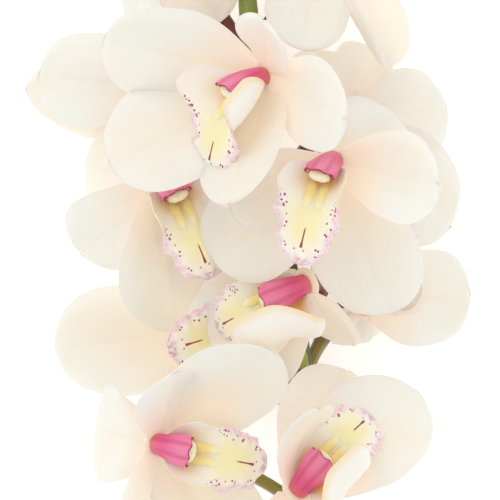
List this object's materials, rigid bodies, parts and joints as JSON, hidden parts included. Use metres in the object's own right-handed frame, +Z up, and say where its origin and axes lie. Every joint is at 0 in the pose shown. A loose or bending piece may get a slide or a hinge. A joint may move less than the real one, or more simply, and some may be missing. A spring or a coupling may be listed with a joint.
{
  "type": "cymbidium orchid stem",
  "caption": "Cut cymbidium orchid stem in full bloom, lying down: broad cream-white flowers with spotted yellow lips and pink columns crowd the upper half of a bare green stem.",
  "frame": {"origin": "centre of the bounding box's bottom face, on the surface the stem lies on", "axes": "+Z up from the surface, +Y along the stem from its cut end to its tip, +X across the stem"},
  "size_m": [0.1709, 0.5048, 0.1299],
  "materials": {
    "sepal": "waxy, satin, faintly veined",
    "petal": "waxy, satin, faintly veined",
    "lip": "satin, fleshy, spotted crimson near its edge",
    "column": "smooth, waxy",
    "stem": "satin, finely ribbed",
    "sheath": "papery, ribbed lengthwise",
    "bud": "waxy, satin"
  },
  "bodies": {
    "root": {"stem": "stem", "flower_01_sepals": "sepal", "flower_01_petals": "petal", "flower_01_lip": "lip", "flower_01_column": "column", "flower_02_sepals": "sepal", "flower_02_petals": "petal", "flower_02_lip": "lip", "flower_02_column": "column", "flower_03_sepals": "sepal", "flower_03_petals": "petal", "flower_03_lip": "lip", "flower_03_column": "column", "flower_04_sepals": "sepal", "flower_04_petals": "petal", "flower_04_lip": "lip", "flower_04_column": "column", "flower_05_sepals": "sepal", "flower_05_petals": "petal", "flower_05_lip": "lip", "flower_05_column": "column", "flower_06_sepals": "sepal", "flower_06_petals": "petal", "flower_06_lip": "lip", "flower_06_column": "column", "flower_07_sepals": "sepal", "flower_07_petals": "petal", "flower_07_lip": "lip", "flower_07_column": "column", "flower_08_sepals": "sepal", "flower_08_petals": "petal", "flower_08_lip": "lip", "flower_08_column": "column", "flower_09_sepals": "sepal", "flower_09_petals": "petal", "flower_09_lip": "lip", "flower_09_column": "column", "flower_10_sepals": "sepal", "flower_10_petals": "petal", "flower_10_lip": "lip", "flower_10_column": "column", "flower_11_sepals": "sepal", "flower_11_petals": "petal", "flower_11_lip": "lip", "flower_11_column": "column", "flower_12_sepals": "sepal", "flower_12_petals": "petal", "flower_12_lip": "lip", "flower_12_column": "column", "sheath_low": "sheath", "sheath_middle": "sheath", "sheath_high": "sheath", "bud": "bud"}
  },
  "joints": []
}
